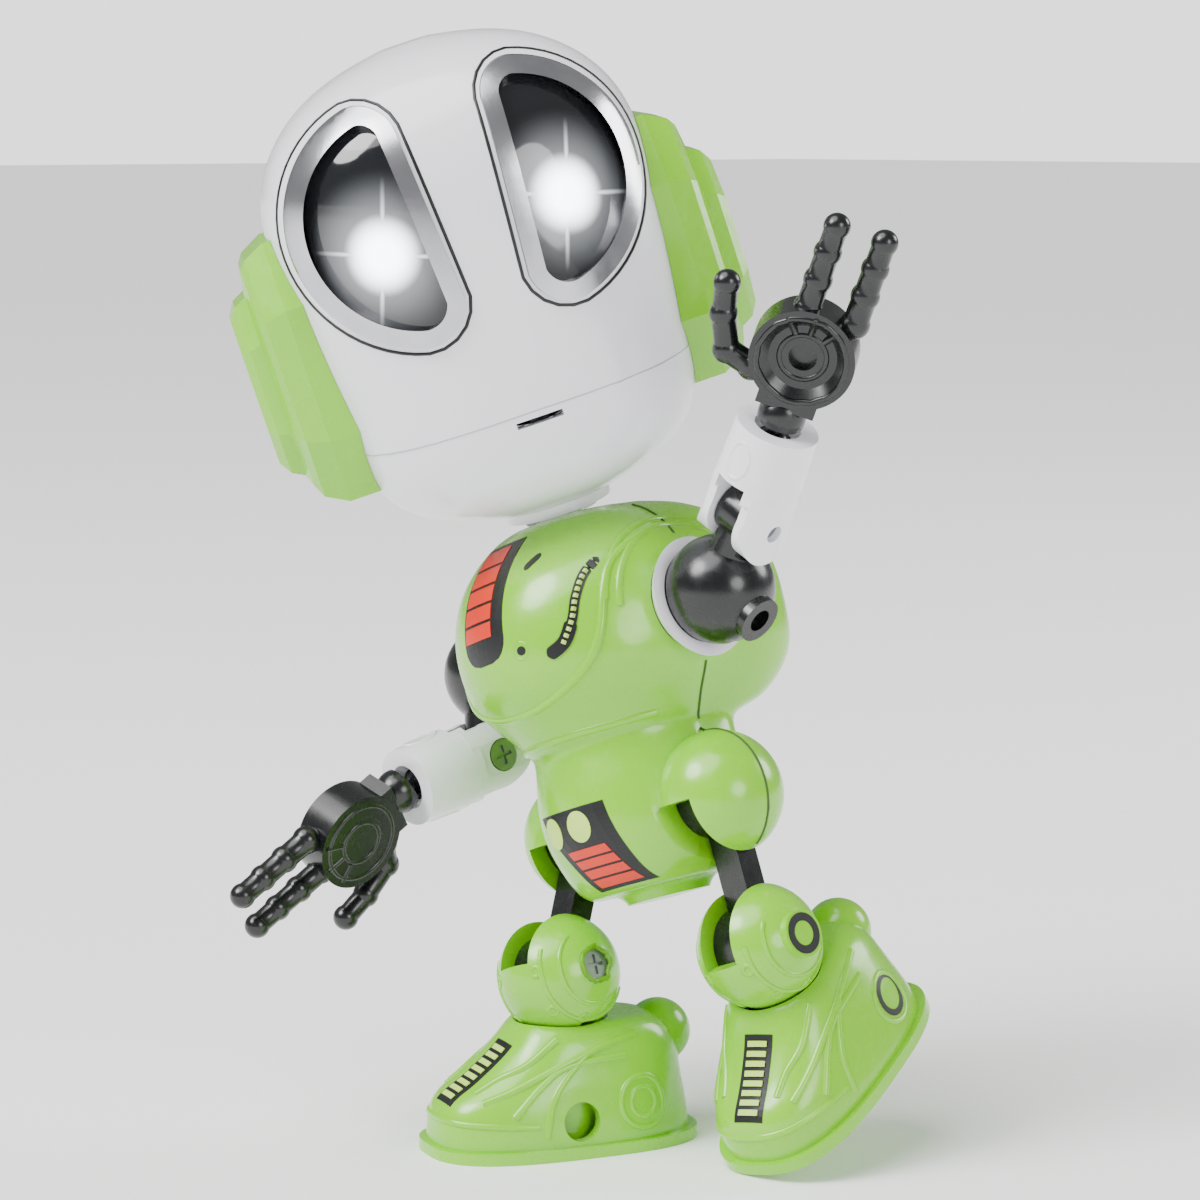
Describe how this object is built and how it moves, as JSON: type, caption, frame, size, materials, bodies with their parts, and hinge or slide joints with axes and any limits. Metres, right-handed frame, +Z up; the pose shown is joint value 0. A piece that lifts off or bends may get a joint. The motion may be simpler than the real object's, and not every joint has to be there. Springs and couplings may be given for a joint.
{
  "type": "toy robot",
  "caption": "Articulated green and white toy robot with a large egg-shaped head, half-moon eyes, jointed arms and legs, posed stepping with one arm raised.",
  "frame": {"origin": "middle of the right sole, on the floor", "axes": "+Z up, -Y towards the robot's front, +X to the robot's left"},
  "size_m": [0.0766, 0.0616, 0.1229],
  "materials": {
    "lime_gloss": "gloss lime green",
    "white_gloss": "gloss cool white",
    "black_satin": "satin black",
    "silver_paint": "silver painted plastic",
    "smoked_lens": "smoked clear",
    "led_clear": "clear",
    "steel": "plated",
    "cell_steel": "bright",
    "board_green": "lacquered board"
  },
  "bodies": {
    "torso": {"torso_front_shell": "lime_gloss", "torso_back_shell": "lime_gloss", "hip_axle": "steel", "hip_sleeve": "black_satin", "battery_box": "black_satin", "button_cells": "cell_steel", "main_board": "board_green", "battery_door": "lime_gloss", "battery_door_screw": "steel", "switch_base": "black_satin"},
    "power_switch": {"power_switch": "black_satin"},
    "neck_collar": {"neck_collar": "white_gloss"},
    "neck_bush": {"neck_bush": "black_satin"},
    "head": {"neck_socket": "white_gloss", "face_shell": "white_gloss", "jaw_shell": "white_gloss", "head_back_shell": "white_gloss", "eye_bezel_left": "silver_paint", "eye_bezel_right": "silver_paint", "eye_lens_left": "smoked_lens", "eye_lens_right": "smoked_lens", "eye_led_left": "led_clear", "eye_led_right": "led_clear", "ear_cover_left": "lime_gloss", "ear_cover_right": "lime_gloss", "head_board": "board_green", "speaker": "black_satin"},
    "shoulder_left": {"shoulder_cup_left": "white_gloss"},
    "upper_arm_left": {"upper_arm_left": "black_satin"},
    "forearm_left": {"forearm_sleeve_left": "white_gloss", "elbow_screw_left": "steel"},
    "wrist_left": {"wrist_stud_left": "black_satin"},
    "hand_left": {"hand_left": "black_satin"},
    "thigh_left": {"thigh_link_left": "black_satin"},
    "knee_left": {"knee_cap_inner_left": "lime_gloss", "knee_cap_outer_left": "lime_gloss", "knee_screw_left": "steel"},
    "ankle_left": {"ankle_stud_left": "black_satin"},
    "foot_left": {"foot_shell_left": "lime_gloss", "foot_sole_left": "lime_gloss"},
    "shoulder_right": {"shoulder_cup_right": "white_gloss"},
    "upper_arm_right": {"upper_arm_right": "black_satin"},
    "forearm_right": {"forearm_sleeve_right": "white_gloss", "elbow_screw_right": "steel"},
    "wrist_right": {"wrist_stud_right": "black_satin"},
    "hand_right": {"hand_right": "black_satin"},
    "thigh_right": {"thigh_link_right": "black_satin"},
    "knee_right": {"knee_cap_inner_right": "lime_gloss", "knee_cap_outer_right": "lime_gloss", "knee_screw_right": "steel"},
    "ankle_right": {"ankle_stud_right": "black_satin"},
    "foot_right": {"foot_shell_right": "lime_gloss", "foot_sole_right": "lime_gloss"}
  },
  "joints": [
    {"name": "neck_turn", "type": "hinge", "parent": "torso", "child": "neck_collar", "pos_m": [-0.00672, 0.00476, 0.07106], "axis": [-0.3353, -0.0297, 0.9416], "range_deg": [-120.4, 19.6]},
    {"name": "head_tilt", "type": "hinge", "parent": "neck_collar", "child": "neck_bush", "pos_m": [-0.00672, 0.00476, 0.07106], "axis": [-0.7322, 0.6371, -0.2407], "range_deg": [-7, 17]},
    {"name": "head_nod", "type": "hinge", "parent": "neck_bush", "child": "head", "pos_m": [-0.00672, 0.00476, 0.07106], "axis": [0.5613, 0.7647, 0.3165], "range_deg": [-32.2, 1.3]},
    {"name": "shoulder_swing_left", "type": "hinge", "parent": "torso", "child": "shoulder_left", "pos_m": [0.01712, 0.00723, 0.06285], "axis": [-0.9421, 0, -0.3355], "range_deg": [-236, 24]},
    {"name": "shoulder_lift_left", "type": "hinge", "parent": "shoulder_left", "child": "upper_arm_left", "pos_m": [0.01712, 0.00723, 0.06285], "axis": [-0.0333, 0.9951, 0.0936], "range_deg": [-6, 38]},
    {"name": "elbow_left", "type": "hinge", "parent": "upper_arm_left", "child": "forearm_left", "pos_m": [0.02179, 0.00658, 0.07144], "axis": [-0.8784, -0.0738, 0.4722], "range_deg": [-1, 84]},
    {"name": "wrist_turn_left", "type": "hinge", "parent": "forearm_left", "child": "wrist_left", "pos_m": [0.02765, 0.00598, 0.08224], "axis": [-0.4761, 0.0491, -0.878], "range_deg": [-293, 7]},
    {"name": "wrist_bend_left", "type": "hinge", "parent": "wrist_left", "child": "hand_left", "pos_m": [0.02765, 0.00598, 0.08224], "axis": [-0.5619, 0.7511, 0.3467], "range_deg": [-28, 28]},
    {"name": "shoulder_swing_right", "type": "hinge", "parent": "torso", "child": "shoulder_right", "pos_m": [-0.02, 0.00723, 0.04963], "axis": [-0.9421, 0, -0.3355], "range_deg": [-83.2, 176.8]},
    {"name": "shoulder_lift_right", "type": "hinge", "parent": "shoulder_right", "child": "upper_arm_right", "pos_m": [-0.02, 0.00723, 0.04963], "axis": [0.1229, 0.9304, -0.3453], "range_deg": [-0.5, 75.5]},
    {"name": "elbow_right", "type": "hinge", "parent": "upper_arm_right", "child": "forearm_right", "pos_m": [-0.01867, 0.0037, 0.04059], "axis": [-0.9832, 0.0668, -0.1701], "range_deg": [-51.5, 28.5]},
    {"name": "wrist_turn_right", "type": "hinge", "parent": "forearm_right", "child": "wrist_right", "pos_m": [-0.01901, -0.00829, 0.03786], "axis": [0.0279, 0.9748, 0.2215], "range_deg": [-88, 212]},
    {"name": "wrist_bend_right", "type": "hinge", "parent": "wrist_right", "child": "hand_right", "pos_m": [-0.01901, -0.00829, 0.03786], "axis": [0.9529, 0.041, -0.3006], "range_deg": [-51, 5]},
    {"name": "hip_left", "type": "hinge", "parent": "torso", "child": "thigh_left", "pos_m": [0.01638, 0.00786, 0.04019], "axis": [0.9421, 0, 0.3355], "range_deg": [-70.7, 41.3]},
    {"name": "knee_left", "type": "hinge", "parent": "thigh_left", "child": "knee_left", "pos_m": [0.02204, 0.00857, 0.02429], "axis": [0.9421, 0, 0.3355], "range_deg": [-83.37, 13.63]},
    {"name": "ankle_tilt_left", "type": "hinge", "parent": "knee_left", "child": "ankle_left", "pos_m": [0.02204, 0.00857, 0.02429], "axis": [-0.1716, 0.8592, 0.482], "range_deg": [-33, 7]},
    {"name": "ankle_turn_left", "type": "hinge", "parent": "ankle_left", "child": "foot_left", "pos_m": [0.02204, 0.00857, 0.02429], "axis": [-0.0689, -0.4985, 0.8642], "range_deg": [-20.5, 17.5]},
    {"name": "hip_right", "type": "hinge", "parent": "torso", "child": "thigh_right", "pos_m": [-0.0051, 0.00786, 0.03255], "axis": [0.9421, 0, 0.3355], "range_deg": [-28, 74]},
    {"name": "knee_right", "type": "hinge", "parent": "thigh_right", "child": "knee_right", "pos_m": [-0.00021, -0.00067, 0.0188], "axis": [0.9421, 0, 0.3355], "range_deg": [-50.3, 11.7]},
    {"name": "ankle_tilt_right", "type": "hinge", "parent": "knee_right", "child": "ankle_right", "pos_m": [-0.00021, -0.00067, 0.0188], "axis": [0, 1, 0], "range_deg": [-19.6, 0.4]},
    {"name": "ankle_turn_right", "type": "hinge", "parent": "ankle_right", "child": "foot_right", "pos_m": [-0.00021, -0.00067, 0.0188], "axis": [0, 0, 1], "range_deg": [-1.7, 36.3]},
    {"name": "switch_slide", "type": "slide", "parent": "torso", "child": "power_switch", "axis": [0.9421, 0, 0.3355], "range_m": [0, 0.003]}
  ]
}
